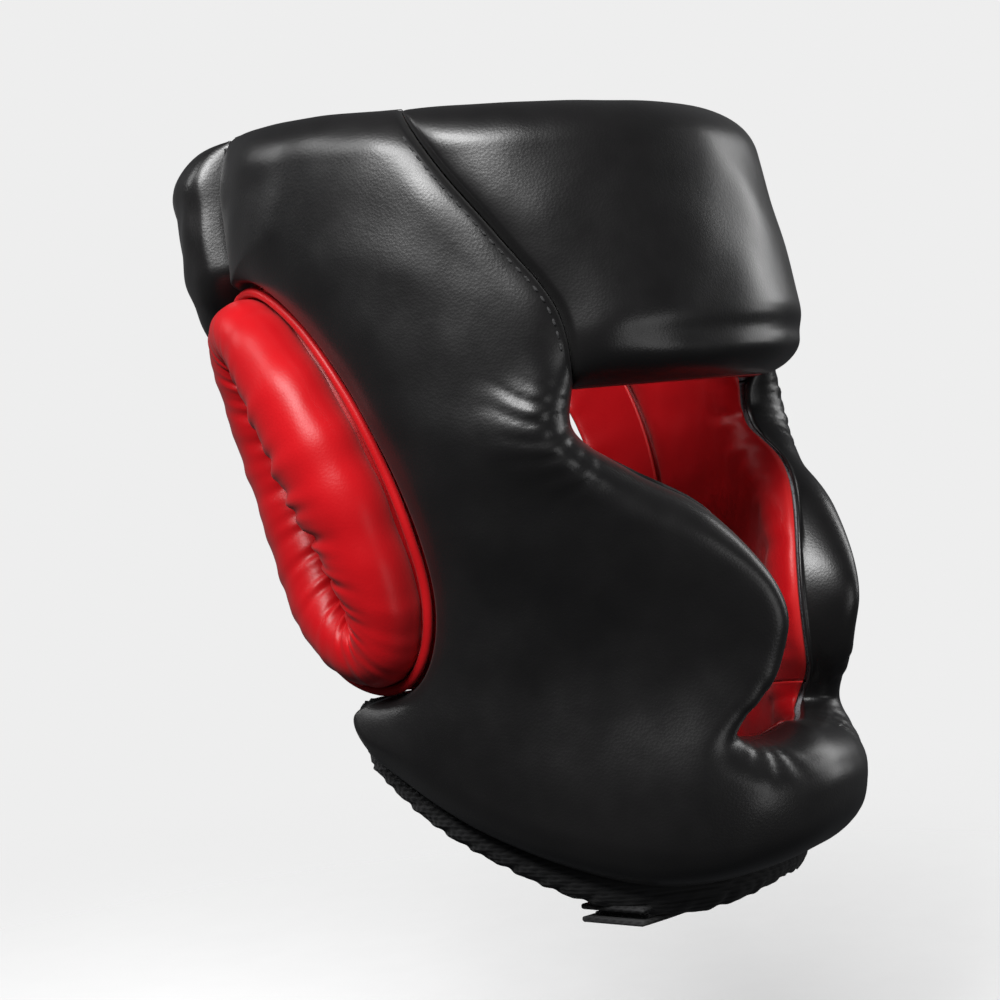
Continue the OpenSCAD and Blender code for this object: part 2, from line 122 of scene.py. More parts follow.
def seam_normal(u, z):
    up = seam_point(u, np.asarray(z) + 0.5) - seam_point(u, np.asarray(z) - 0.5)
    along = seam_point(np.asarray(u) + 0.5, z) - seam_point(np.asarray(u) - 0.5, z)
    return unit(np.cross(up, along))


def rim_z(u):
    return RIM_FRONT + (RIM_BACK - RIM_FRONT) * blend(20, 130, np.abs(u))


def bump(u, z, mid, size):
    """Soft hill of height one round the angle and height mid."""
    return np.exp(-(((u - mid[0]) / size[0]) ** 2) - ((z - mid[1]) / size[1]) ** 2)


def ripple(x):
    """Uneven wave of about one unit, one main crest every 2 pi."""
    return 0.6 * np.sin(x) + 0.3 * np.sin(1.63 * x + 1.1) + 0.2 * np.sin(0.61 * x + 2.3)


def dents(p, wave):
    """Broad soft unevenness of a stuffed skin at points p, in waves of about that length."""
    k = 2 * math.pi / wave
    x, y, z = p[..., 0] * k, p[..., 1] * k, p[..., 2] * k
    return (
        np.sin(x + 1.7 * np.sin(0.6 * z + 0.4)) * np.sin(0.9 * z + 1.3 * np.sin(0.7 * y))
        + 0.5 * np.sin(1.9 * y + 0.8 * z + 2.0) * np.sin(1.7 * x + 0.5)
    )


def spread(count, ends):
    """count shares from 0 to 1, closer together at both ends by the share ends."""
    x = np.linspace(0, 1, count)
    return (1 - ends) * x + ends * (0.5 - 0.5 * np.cos(math.pi * x))


# -------------------- meshes
def show(obj):
    bpy.context.scene.collection.objects.link(obj)
    return obj


def make_mesh(name, points, faces):
    mesh = bpy.data.meshes.new(name)
    mesh.from_pydata((points * MM).tolist(), [], faces)
    mesh.validate()
    for p in mesh.polygons:
        p.use_smooth = True
    mesh.update()
    return show(bpy.data.objects.new(name, mesh))


def grid_faces(rows, cols, loop_rows=False, loop_cols=False, start=0):
    faces = []
    for j in range(rows if loop_rows else rows - 1):
        for i in range(cols if loop_cols else cols - 1):
            a = j * cols + i
            b = j * cols + (i + 1) % cols
            c = ((j + 1) % rows) * cols + (i + 1) % cols
            d = ((j + 1) % rows) * cols + i
            faces.append((start + a, start + b, start + c, start + d))
    return faces


def facing(points, faces, outward):
    """The faces, turned round where they look away from outward on the whole."""
    p = points.reshape(-1, 3)
    o = outward.reshape(-1, 3)
    f = np.array(faces)
    n = np.cross(p[f[:, 2]] - p[f[:, 0]], p[f[:, 3]] - p[f[:, 1]])
    if np.sum(n * o[f[:, 0]]) < 0:
        return [tuple(reversed(q)) for q in faces]
    return faces


def skin(name, points, outward, thickness=LEATHER, loop_rows=False, loop_cols=False):
    """Sheet of leather through a grid of points, thickened away from outward."""
    rows, cols = points.shape[:2]
    faces = facing(points, grid_faces(rows, cols, loop_rows, loop_cols), outward)
    obj = make_mesh(name, points.reshape(-1, 3), faces)
    if thickness:
        solid = obj.modifiers.new("thickness", "SOLIDIFY")
        solid.thickness = thickness * MM
        solid.offset = -1
    return obj


def block(name, top, bottom, outward):
    """Closed solid between two grids of the same size."""
    rows, cols = top.shape[:2]
    size = rows * cols
    upper = facing(top, grid_faces(rows, cols), outward)
    lower = [tuple(size + k for k in reversed(f)) for f in upper]
    turned = upper[0] != grid_faces(rows, cols)[0]
    edge = list(range(cols))
    edge += [j * cols + cols - 1 for j in range(1, rows)]
    edge += [(rows - 1) * cols + i for i in range(cols - 2, -1, -1)]
    edge += [j * cols for j in range(rows - 2, 0, -1)]
    sides = []
    for k, a in enumerate(edge):
        b = edge[(k + 1) % len(edge)]
        side = (a, size + a, size + b, b)
        sides.append(tuple(reversed(side)) if turned else side)
    points = np.concatenate([top.reshape(-1, 3), bottom.reshape(-1, 3)])
    return make_mesh(name, points, upper + lower + sides)


def paint(obj, material):
    obj.data.materials.clear()
    obj.data.materials.append(material)
    return obj


# -------------------- materials
# texture scales, in features per metre
CLOUDS, PATCHES, CREASES, PEBBLES = 22.0, 90.0, 260.0, 1100.0
RIBS, PORES, TUFTS = 190.0, 700.0, 1500.0


def new_material(name):
    """New material with its nodes, links, shader and the socket of places on the object."""
    material = bpy.data.materials.new(name)
    material.use_nodes = True
    nodes = material.node_tree.nodes
    place = nodes.new("ShaderNodeTexCoord").outputs["Object"]
    return material, nodes, material.node_tree.links, nodes["Principled BSDF"], place


def put(node, **values):
    """Constants on a node's sockets, with _ for the spaces in their names."""
    for key, value in values.items():
        node.inputs[key.replace("_", " ")].default_value = value
    return node


def texture(nodes, links, place, kind, **values):
    node = put(nodes.new("ShaderNodeTex" + kind), **values)
    links.new(place, node.inputs["Vector"])
    return node


def ramp(nodes, links, source, low, high, at=(0.3, 0.7)):
    """Colour from low to high as source rises through the two places."""
    node = nodes.new("ShaderNodeValToRGB")
    node.color_ramp.elements[0].position = at[0]
    node.color_ramp.elements[1].position = at[1]
    node.color_ramp.elements[0].color = (*low, 1)
    node.color_ramp.elements[1].color = (*high, 1)
    links.new(source, node.inputs["Fac"])
    return node.outputs["Color"]


def bump_from(nodes, links, shader, height, strength, distance, under=None):
    node = nodes.new("ShaderNodeBump")
    put(node, Strength=strength, Distance=distance)
    links.new(height, node.inputs["Height"])
    if under is not None:
        links.new(under.outputs["Normal"], node.inputs["Normal"])
    links.new(node.outputs["Normal"], shader.inputs["Normal"])
    return node


def leather(name, low, high, worn, roughness, shine):
    """Smooth coated leather: fine pebble grain, soft creases, cloudy colour and worn ridges."""
    material, nodes, links, shader, place = new_material(name)
    cloud = texture(nodes, links, place, "Noise", Scale=CLOUDS, Detail=4.0)
    tone = ramp(nodes, links, cloud.outputs["Fac"], low, high)
    geometry = nodes.new("ShaderNodeNewGeometry")
    ridge = ramp(nodes, links, geometry.outputs["Pointiness"], (0, 0, 0), (1, 1, 1), (0.52, 0.62))
    mix = nodes.new("ShaderNodeMix")
    mix.data_type = "RGBA"
    links.new(ridge, mix.inputs[0])
    links.new(tone, mix.inputs[6])
    mix.inputs[7].default_value = (*worn, 1)
    links.new(mix.outputs[2], shader.inputs["Base Color"])

    patch = texture(nodes, links, place, "Noise", Scale=PATCHES, Detail=3.0)
    gloss = put(nodes.new("ShaderNodeMapRange"), To_Min=roughness - 0.06, To_Max=roughness + 0.08)
    links.new(patch.outputs["Fac"], gloss.inputs["Value"])
    links.new(gloss.outputs["Result"], shader.inputs["Roughness"])

    pebble = texture(nodes, links, place, "Voronoi", Scale=PEBBLES)
    crease = texture(nodes, links, place, "Noise", Scale=CREASES, Detail=6.0, Roughness=0.6)
    first = bump_from(nodes, links, shader, pebble.outputs["Distance"], 0.22, 0.00012)
    bump_from(nodes, links, shader, crease.outputs["Fac"], 0.11, 0.0003, first)
    put(shader, Specular_IOR_Level=shine, Sheen_Weight=0.05)
    return material


def webbing(name, low, high):
    """Woven tape: fine ribs across and along."""
    material, nodes, links, shader, place = new_material(name)
    across = texture(nodes, links, place, "Wave", Scale=RIBS, Distortion=0.6)
    across.bands_direction = "Z"
    along = texture(nodes, links, place, "Wave", Scale=RIBS, Distortion=0.6)
    along.bands_direction = "DIAGONAL"
    both = nodes.new("ShaderNodeMath")
    both.operation = "ADD"
    links.new(across.outputs["Fac"], both.inputs[0])
    links.new(along.outputs["Fac"], both.inputs[1])
    tone = ramp(nodes, links, both.outputs["Value"], low, high, (0.2, 0.8))
    links.new(tone, shader.inputs["Base Color"])
    bump_from(nodes, links, shader, both.outputs["Value"], 0.5, 0.0003)
    put(shader, Roughness=0.8, Sheen_Weight=0.08)
    return material


def pile(name, low, high):
    """Hook-and-loop face: dense uneven pile."""
    material, nodes, links, shader, place = new_material(name)
    tuft = texture(nodes, links, place, "Voronoi", Scale=TUFTS)
    tone = ramp(nodes, links, tuft.outputs["Distance"], high, low, (0.1, 0.6))
    links.new(tone, shader.inputs["Base Color"])
    bump_from(nodes, links, shader, tuft.outputs["Distance"], 0.8, 0.0005)
    put(shader, Roughness=0.9, Sheen_Weight=0.4)
    return material


def foam_material(name, low, high):
    """Closed-cell foam: fine open pores on a matte block."""
    material, nodes, links, shader, place = new_material(name)
    pores = texture(nodes, links, place, "Voronoi", Scale=PORES)
    tone = ramp(nodes, links, pores.outputs["Distance"], low, high, (0.05, 0.5))
    links.new(tone, shader.inputs["Base Color"])
    bump_from(nodes, links, shader, pores.outputs["Distance"], 0.6, 0.0004)
    put(shader, Roughness=0.95)
    return material


BLACK = leather(
    "black_leather", low=(0.0044, 0.0042, 0.0044), high=(0.0075, 0.0071, 0.0073), worn=(0.013, 0.012, 0.013),
    roughness=0.32, shine=0.56,
)
RED = leather(
    "red_leather", low=(0.43, 0.0030, 0.0062), high=(0.54, 0.0050, 0.0090), worn=(0.72, 0.03, 0.03),
    roughness=0.36, shine=0.25,
)
FOAM = foam_material("grey_foam", (0.10, 0.10, 0.11), (0.30, 0.30, 0.32))
WEBBING = webbing("black_webbing", (0.004, 0.004, 0.0045), (0.018, 0.018, 0.019))
PILE = pile("black_pile", (0.006, 0.006, 0.006), (0.04, 0.04, 0.042))
THREAD = webbing("black_thread", (0.006, 0.006, 0.0065), (0.024, 0.024, 0.025))


# -------------------- sides
SIDES = (("right", -1), ("left", 1))


def flipped(points, sign):
    """Points of the right side as they are, or mirrored to the left."""
    return points if sign < 0 else points * np.array([-1.0, 1.0, 1.0])


# -------------------- ear ring outline
def ring_chart(p, q):
    """Angle and height of a point p back and q up from the ring's middle, in the side view."""
    lean = math.radians(RING_LEAN)
    y = RING_Y + p * math.cos(lean) + q * math.sin(lean)
    z = RING_Z + q * math.cos(lean) - p * math.sin(lean)
    c = curve(LEVELS, z)
    depth = np.where(y < 0, c[..., 1], c[..., 2])
    return 90 + np.degrees(np.arcsin(np.clip(y / depth, -1, 1))), z


def ring_edge(th, w):
    """Angle and height at angle th, in degrees round the ring from its top, and w across it."""
    a = np.radians(th)
    return ring_chart((RING_B + w) * np.sin(a), (RING_A + w) * np.cos(a))


def ring_gap(u, z):
    """Distance of a point outside the seam round the ring, about true near the seam."""
    lean = math.radians(RING_LEAN)
    y, z = seam_point(u, z)[..., 1] - RING_Y, z - RING_Z
    p, q = y * math.cos(lean) - z * math.sin(lean), y * math.sin(lean) + z * math.cos(lean)
    short, tall = RING_B + RING_W + RING_ROOM, RING_A + RING_W + RING_ROOM
    share = np.hypot(p / short, q / tall)
    return (share - 1) * share / np.maximum(np.hypot(p / short**2, q / tall**2), 1e-6)


# -------------------- face panel
# inner edge of the face panel: share from rim to chin, angle, height
INNER_EDGE = [
    [0.00, 72, 139], [0.10, 64, 116], [0.20, 54, 90], [0.30, 46, 65], [0.38, 45, 42], [0.45, 46, 25],
    [0.53, 37, 11], [0.61, 22, -7], [0.70, 13, -36], [0.78, 14, -60], [0.86, 23, -80], [0.93, 14, -86],
    [1.00, 0, -84],
]
# where the outer edge runs along the ear ring's seam: share, degrees round the ring
RING_JOIN = [
    [0.20, 2], [0.24, -9], [0.28, -21], [0.34, -45], [0.42, -78], [0.50, -112], [0.57, -143],
    [0.62, -160], [0.66, -171], [0.70, -183], [0.72, -190],
]
# shares t along the panel, from 0 at the rim to 1 at the chin
RING_TOP_SHARE, RING_END_SHARE = 0.20, 0.72  # where the ear ring's seam starts and ends
FREE_SHARES = (0.34, 0.42)  # where the inner edge parts from the forehead
HINGE_SHARES = (0.12, 0.32)  # where the slope to the hinge passes into the ring's
CORNER_SHARE = 0.045  # run of the corner below the ring
CHIN_SHARE, CHEEK_SHARE = 5 / 30, 18 / 30  # ends of the chin and cheek foams, from the chin on
BINDING_SHARES = (0.77, 0.87, 0.95, 1.0)  # where the binding widens and narrows again
WRAP_SHARES = (0.47, 0.56, 0.80, 0.90)  # where the lining wraps round the edge and stops

SEAM_HEIGHT, SEAM_ROLL = 0.78, 14.0  # cover at the forehead seam: share of its height, roll
SEAM_TUCK, SEAM_TUCK_ROLL = 0.35, 2.2  # its dip right at the stitches
HINGE_HEIGHT, RING_HEIGHT = 0.32, 0.40  # share of its height at the hinge and ring seams
HINGE_SLOPE = 28.0  # extra width of the slope down to the hinge
EYE_CORNER, MOUTH_CORNER = (45.0, 33.0), (20.0, -79.0)
ARCH_HEIGHT, ARCH_MID, ARCH_REACH = 9.0, 0.185, 0.10  # rise of the rows over the ear ring
RIM_RUN = 230.0  # millimetres that the rows fall below the rim per share
LINING_WRAP = 5.8  # how far the lining wraps outwards
# height, middle and reach, in degrees and millimetres, of each swell or hollow
SWELLS = [
    (CHEEK_BULGE, (18, -42), (22, 40)),
    (-0.38 * PAD, (48, -40), (22, 45)),
    (4.0, (0, -108), (40, 20)),
    (-6.0, (36, -60), (16, 24)),
    (4.5, (52, 22), (12, 14)),
]


def ring_seam(th):
    return ring_edge(th, RING_W + RING_ROOM)


def end_row(share, th):
    u, z = ring_seam(np.array(float(th)))
    return [share, float(u), float(z)]


UPPER_EDGE = [[0.00, 124.6, 143], [0.08, 124.6, 122], [0.15, 123, 104], end_row(RING_TOP_SHARE, 2)]
LOWER_EDGE = [
    end_row(RING_END_SHARE, -190), [0.765, 100, -68], [0.82, 91, -86], [0.88, 70, -113], [0.94, 40, -132],
    [1.00, 0, -130],
]


def outer_edge(t):
    """Angle and height of the face panel's outer edge at share t from the rim."""
    upper, lower = curve(UPPER_EDGE, t), curve(LOWER_EDGE, t)
    u, z = ring_seam(curve(RING_JOIN, t)[..., 0])
    ring = np.stack([u, z], axis=-1)
    t = t[..., None]
    return np.where(t < RING_TOP_SHARE, upper, np.where(t > RING_END_SHARE, lower, ring))


def fan(u, z, corner, reach, step, turn, between):
    """Puckers spreading from a sewn corner, between two angles: sharp valleys, round ridges."""
    across = (u - corner[0]) * 1.7 + reach * 0.35
    up = z - corner[1]
    r = np.hypot(across, up)
    angle = np.degrees(np.arctan2(up, across))
    inside = blend(between[0] - 12, between[0] + 6, angle)
    inside = inside * (1 - blend(between[1] - 6, between[1] + 12, angle))
    angle = angle + turn + 5 * np.sin(r / 9) + 3 * np.sin(r / 4 + 2)
    ridge = np.abs(np.sin(math.pi * angle / step)) ** 0.7 - 0.62
    ridge = ridge * (0.75 + 0.35 * np.sin(angle * 0.21))
    return ridge * inside * blend(reach * 0.2, reach * 0.5, r) * (1 - blend(reach * 0.6, reach * 1.5, r))


def face_rows(v, s):
    """Angle, height, distance from both edges and share along the panel of its points."""
    t = 1 - np.abs(v)
    a, b = curve(INNER_EDGE, t), outer_edge(t)
    u = a[..., 0] * (1 - s) + b[..., 0] * s
    z = a[..., 1] * (1 - s) + b[..., 1] * s
    z = z + ARCH_HEIGHT * 27 / 4 * s * s * (1 - s) * np.exp(-(((t - ARCH_MID) / ARCH_REACH) ** 2))
    ends = seam_point(a[..., 0], a[..., 1]) - seam_point(b[..., 0], b[..., 1])
    width = np.linalg.norm(ends, axis=-1)
    return u, z, s * width, (1 - s) * width, t


def face_frame(u, z, v):
    """Seam points and normals on the side that v is on, the cheeks' normals turned to the front."""
    p, n = seam_point(u, z), seam_normal(u, z)
    turn = 1 - 0.9 * bump(u, z, (28, -45), (30, 45))
    n = unit(n * np.stack([turn, np.ones_like(turn), np.ones_like(turn)], axis=-1))
    right = np.where(v < 0, -1.0, 1.0)
    flip = np.stack([-right, np.ones_like(right), np.ones_like(right)], axis=-1)
    return p * flip, n * flip


def sewn_height(near):
    """Share of a cover's height near the forehead seam, and its dip at the stitches."""
    sewn = SEAM_HEIGHT + (1 - SEAM_HEIGHT) * roll(near, SEAM_ROLL)
    return sewn, (1 - roll(near, SEAM_TUCK_ROLL)) * SEAM_TUCK


def rim_roll(u, z, t):
    """Share of the padding's height left near the top rim."""
    below = np.minimum(rim_z(u) - z, t * RIM_RUN)
    return 1 - (1 - roll(below, EDGE_ROLL)) * (1 - blend(0, 0.4, t))


def face_height(u, z, near, far, gap, t):
    """Height of the stuffed cover over the seam surface, before its puckers."""
    free = blend(*FREE_SHARES, t)
    sewn, dip = sewn_height(near)
    eye = bump(u, z, EYE_CORNER, (22, 22))
    inner = (1 - free) * sewn + free * roll(near, EDGE_ROLL - 8 * eye)
    seam = HINGE_HEIGHT + (RING_HEIGHT - HINGE_HEIGHT) * blend(0.12, 0.22, t)
    seam = seam * (1 - blend(RING_END_SHARE, RING_END_SHARE + CORNER_SHARE, t))
    hinge = 1 - blend(*HINGE_SHARES, t)
    wide = EDGE_ROLL + 2 + HINGE_SLOPE * hinge
    slope = (1 - 0.6 * hinge) * roll(far, wide) + 0.6 * hinge * blend(-4, wide, far)
    ring = RING_HEIGHT + (1 - RING_HEIGHT) * roll(gap, EDGE_ROLL + 4)
    outer = np.minimum(seam + (1 - seam) * slope, ring)
    tuck = roll(np.minimum(far, gap + 0.3), 2.5) * (1 - (1 - free) * dip)
    swell = sum(height * bump(u, z, mid, reach) for height, mid, reach in SWELLS)
    return (PAD + swell) * inner * outer * rim_roll(u, z, t) * tuck


def face_lining(u, z, near, far, t, dent, wrap):
    """Depth of the lining inside the seam surface, less than nothing where it wraps outwards."""
    free = blend(*FREE_SHARES, t)
    inner = (1 - free) * (0.7 + 0.3 * roll(near, 9)) + free * roll(near, 12)
    depth = INNER * inner * roll(far, 12) * rim_roll(u, z, t) + dent
    fold = 0.5 * ripple(t * 150) * roll(near, 3) * roll(20 - near, 10)
    return np.maximum(depth, LEATHER + SEAM_GAP) - wrap * (1 - roll(near, 15)) + fold


def face_panel(v, s):
    """Seam points, normals, outer and inner offsets of the face panel at shares v and s.

    v runs from -1 at the right rim, through 0 at the chin, to 1 at the left rim, and s from the
    inner edge to the outer edge.
    """
    v, s = np.meshgrid(v, s, indexing="ij")
    u, z, near, far, t = face_rows(v, s)
    gap = np.maximum(ring_gap(u, z), 0)
    p, n = face_frame(u, z, v)
    out = face_height(u, z, near, far, gap, t)
    far = np.minimum(far, gap + 0.3)
    edge = roll(near, 6) * roll(far, 6)
    out = out + 1.3 * edge * fan(u, z, EYE_CORNER, 30.0, 14.0, 4.0, (-62, 14))
    out = out + 1.5 * edge * fan(u, z, MOUTH_CORNER, 17.0, 30.0, 8.0, (-120, 60))
    out = out + 0.35 * edge * dents(p + n * 10, 55.0)
    wrap = LINING_WRAP * blend(*WRAP_SHARES[:2], t) * (1 - blend(*WRAP_SHARES[2:], t))
    inside = face_lining(u, z, near, far, t, 0.5 * edge * dents(p, 34.0), wrap)
    return p, n, np.maximum(out, LEATHER + wrap * (1 - roll(near - 1, 4))), inside


def row_shares(first, last, count):
    """Shares v from first to last, closer together at the rims."""
    x = np.linspace(first, last, count)
    near_rim = 1 - np.abs(x)
    return np.sign(x) * (1 - near_rim * (1 - 0.75 * np.exp(-near_rim / 0.04)))


def finish_piece(obj, body, material, slot, *nodes, fill=None):
    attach(obj, body)
    paint(obj, material)
    if nodes:
        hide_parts(*nodes)
    return obj


def foam_block(name, p, n, out, inside, node, body="shell"):
    """Foam a little smaller than the skins round it, closed all over."""
    low = p - n * (0.6 * inside + 0.15)[..., None]
    obj = block(name, p + n * np.maximum(0.8 * out, -0.6 * inside)[..., None], low, n)
    return finish_piece(obj, body, FOAM, "foam", node, fill=0.8)


FOAM_COLUMNS = (0.03, 0.94)  # share at which a foam's columns start, and the share they span
FOAM_GAP = 0.002  # share left out at either end of a foam
# shares from the chin at which each foam starts and ends
FOAM_SHARES = {
    "side_foam": (0.985, CHEEK_SHARE + FOAM_GAP),
    "cheek_foam": (CHEEK_SHARE - FOAM_GAP, CHIN_SHARE + FOAM_GAP),
}


def face_foam(name, first, last, node):
    columns = FOAM_COLUMNS[0] + FOAM_COLUMNS[1] * spread(30, 0.6)
    p, n, out, inside = face_panel(np.linspace(first, last, 60), columns)
    foam_block(name, p, n, out, inside, node)


def face_lining_piece(part, first, last, rows, node):
    p, n, _, inside = face_panel(np.linspace(first, last, rows), spread(60, 0.6))
    finish_piece(skin(part, p - n * inside[..., None], -n), "shell", RED, "red_leather", node)


def face_pieces():
    p, n, out, _ = face_panel(row_shares(-1, 1, 420), spread(110, 0.7))
    cover = skin("face_cover_skin", p + n * out[..., None], n)
    finish_piece(cover, "shell", BLACK, "black_leather", "face_cover", fill=0.75)
    for side, sign in SIDES:
        face_lining_piece(f"side_lining_skin_{side}", sign, sign * CHIN_SHARE, 170, f"side_lining_{side}")
        for part, (first, last) in FOAM_SHARES.items():
            face_foam(f"{part}_core_{side}", sign * first, sign * last, f"{part}_{side}")
    face_lining_piece("chin_lining_skin", -CHIN_SHARE, CHIN_SHARE, 90, "chin_lining")
    face_foam("chin_foam_core", -CHIN_SHARE + FOAM_GAP, CHIN_SHARE - FOAM_GAP, "chin_foam")


# -------------------- forehead panel
BROW_ROLL = 18.0
BROW_HOLLOW, BROW_HOLLOW_UP, BROW_HOLLOW_REACH = 2.6, 13.0, 4.6  # depth, height over the edge, reach
RIM_CROWN = 2.5  # rise of the rim in the middle


def forehead_panel(s, q):
    """As face_panel, at shares s from the left seam, at -1, to the right one, and q up."""
    q, s = np.meshgrid(q, s, indexing="ij")
    seam = [[r[2], r[1]] for r in reversed(INNER_EDGE[:5])]
    top = rim_z(s * seam[-1][1]) + RIM_CROWN * (1 - s * s)
    z = BROW_Z + (top - BROW_Z) * q
    side_u = curve(seam, z)[..., 0]
    u = s * side_u
    width = curve(LEVELS, z)[..., 0] * np.sin(np.radians(side_u))
    near = (1 - np.abs(s)) * width
    sewn, dip = sewn_height(near)
    brow = z - BROW_Z
    hollow = BROW_HOLLOW * (0.15 + 0.85 * blend(0, 50, near))
    hollow = hollow * np.exp(-(((brow - BROW_HOLLOW_UP) / BROW_HOLLOW_REACH) ** 2))
    full = PAD * roll(brow, BROW_ROLL) - hollow
    out = full * sewn * (1 - dip) * roll(top - z, EDGE_ROLL)
    p, n = seam_point(u, z), seam_normal(u, z)
    out = out + 0.35 * roll(brow, 8) * roll(near, 8) * dents(p + n * 10, 60.0)
    inside = INNER * roll(top - z, 14) * roll(brow, 12) * (0.7 + 0.3 * roll(near, 9))
    inside = inside + 0.4 * roll(brow, 8) * roll(top - z, 8) * dents(p, 34.0)
    return p, n, np.maximum(out, LEATHER), np.maximum(inside, LEATHER + SEAM_GAP)


def forehead_pieces():
    across = np.linspace(-1, 1, 180)
    across = np.sin(across * math.pi / 2) * 0.5 + across * 0.5
    p, n, out, inside = forehead_panel(across, spread(110, 0.75))
    cover = skin("forehead_cover_skin", p + n * out[..., None], n)
    finish_piece(cover, "shell", BLACK, "black_leather", "forehead_cover", fill=0.8)
    lining = skin("forehead_lining_skin", p - n * inside[..., None], -n)
    finish_piece(lining, "shell", RED, "red_leather", "forehead_lining")
    rows = 0.02 + 0.95 * spread(40, 0.6)
    p, n, out, inside = forehead_panel(np.linspace(-0.97, 0.97, 60), rows)
    foam_block("forehead_foam_core", p, n, out, inside, "forehead_foam")


# -------------------- ear rings
def ring_frame(th, w):
    u, z = ring_edge(th, w)
    return seam_point(u, z), seam_normal(u, z)


def ring_surface(th, ph, less=0.0):
    """Puffy tube of the ear ring at angle th round it and ph over it, from outside to inside."""
    th, ph = np.meshgrid(th, ph, indexing="ij")
    a, f = np.radians(th), np.radians(ph)
    top = RING_LIFT - RING_TURN * np.sin(a)
    hole_side = blend(70, 165, ph)
    front, low = 0.5 - 0.5 * np.sin(a), 0.5 - 0.5 * np.cos(a)
    gather = ripple(a * 34 + 1.3 * np.sin(a * 3)) * (0.3 + 0.9 * front * (0.35 + 0.65 * low))
    swell = 1.5 * gather * hole_side * roll(210 - ph, 60)
    swell = swell + 0.4 * ripple(a * 29 + 2) * (1 - front) * blend(120, 60, ph)
    p0, _ = ring_frame(th, np.zeros_like(th))
    swell = swell + 0.5 * dents(p0, 30.0) * roll(ph + 50, 60) * roll(230 - ph, 60)
    w = (RING_W - less + swell) * np.sign(np.cos(f)) * np.abs(np.cos(f)) ** 0.9
    v = top + (RING_H - less + 0.8 * swell) * np.sin(f)
    p, n = ring_frame(th, w)
    return p + n * np.maximum(v, -INNER + 1.5)[..., None], p0 + n * top[..., None]


PIPING_R, PIPING_OUT, PIPING_LIFT = 1.7, 2.2, 8.0  # radius, place outside the tube, height
FLANGE_IN, FLANGE_LIFT, FLANGE_SAG = 4.5, 7.6, 3.0  # reach under the tube, height, sag


def ring_skin(name, points, outward, sign, thickness=LEATHER, tube=False):
    points, outward = flipped(points, sign), flipped(outward, sign)
    return skin(name, points, outward, thickness, loop_rows=True, loop_cols=tube)


def ring_cover(side, sign, around):
    points, middle = ring_surface(around, np.linspace(-48, 232, 60))
    obj = ring_skin(f"ear_ring_skin_{side}", points, points - middle, sign)
    finish_piece(obj, "shell", RED, "red_leather", f"ear_ring_cover_{side}", fill=0.85)


def ring_foam(side, sign):
    around = np.linspace(0, 360, 121)[:-1]
    points, middle = ring_surface(around, np.linspace(-30, 210, 26), 2.0)
    obj = ring_skin(f"ear_ring_foam_core_{side}", points, points - middle, sign, 0, tube=True)
    finish_piece(obj, "shell", FOAM, "foam", f"ear_ring_foam_{side}", fill=0.85)


def ring_piping(side, sign, around):
    th, k = np.meshgrid(around, np.linspace(0, 360, 17)[:-1], indexing="ij")
    p, n = ring_frame(th, RING_W + PIPING_OUT + PIPING_R * np.cos(np.radians(k)))
    lift = PIPING_LIFT + PIPING_R * np.sin(np.radians(k)) + 0.3 * ripple(np.radians(th) * 9)
    points = p + n * lift[..., None]
    p0, n0 = ring_frame(th, np.full_like(th, RING_W + PIPING_OUT))
    outward = points - p0 - n0 * PIPING_LIFT
    obj = ring_skin(f"ear_piping_cord_{side}", points, outward, sign, 0, tube=True)
    finish_piece(obj, "shell", RED, "red_leather", f"ear_piping_{side}")


def ring_flange(side, sign, around):
    """Strip of leather from under the tube to the piping."""
    across = np.linspace(RING_W - FLANGE_IN, RING_W + PIPING_OUT, 8)
    th, w = np.meshgrid(around, across, indexing="ij")
    p, n = ring_frame(th, w)
    sag = FLANGE_SAG * np.sin((w - across[0]) / (across[-1] - across[0]) * math.pi)
    obj = ring_skin(f"ear_flange_{side}", p + n * (FLANGE_LIFT - sag)[..., None], n, sign)
    finish_piece(obj, "shell", RED, "red_leather")


def ring_lining(side, sign, around):
    across = np.linspace(1 - RING_W, RING_W + RING_ROOM, 30)
    th, w = np.meshgrid(around, across, indexing="ij")
    p, n = ring_frame(th, w)
    share = (w - across[0]) / (across[-1] - across[0])
    sink = -INNER + 1.2 + 1.0 * roll(share * 30, 4) + 0.5 * ripple(np.radians(th) * 17) * (1 - share)
    obj = ring_skin(f"ear_lining_skin_{side}", p + n * sink[..., None], -n, sign)
    finish_piece(obj, "shell", RED, "red_leather", f"ear_lining_{side}")


def ring_pieces(side, sign):
    around = np.linspace(0, 360, 361)[:-1]
    ring_cover(side, sign, around)
    ring_foam(side, sign)
    ring_piping(side, sign, around)
    ring_flange(side, sign, around)
    ring_lining(side, sign, around)


# -------------------- rear pads
REAR_U0, REAR_LOW_U0, REAR_U1 = 128.9, 149.0, 172.0  # front edge, the same low down, back edge
REAR_Z0 = 30.0  # lower edge
REAR_CUT = (58, 97)  # heights between which the front edge steps
REAR_HOLLOW, REAR_HOLLOW_AT, REAR_HOLLOW_REACH = 2.2, (150, 104), (8, 9)
WEB_U0, WEB_TURN, WEB_Z0 = 124.0, 5.6, 96.0  # the hinge web's front edge, width, lower end


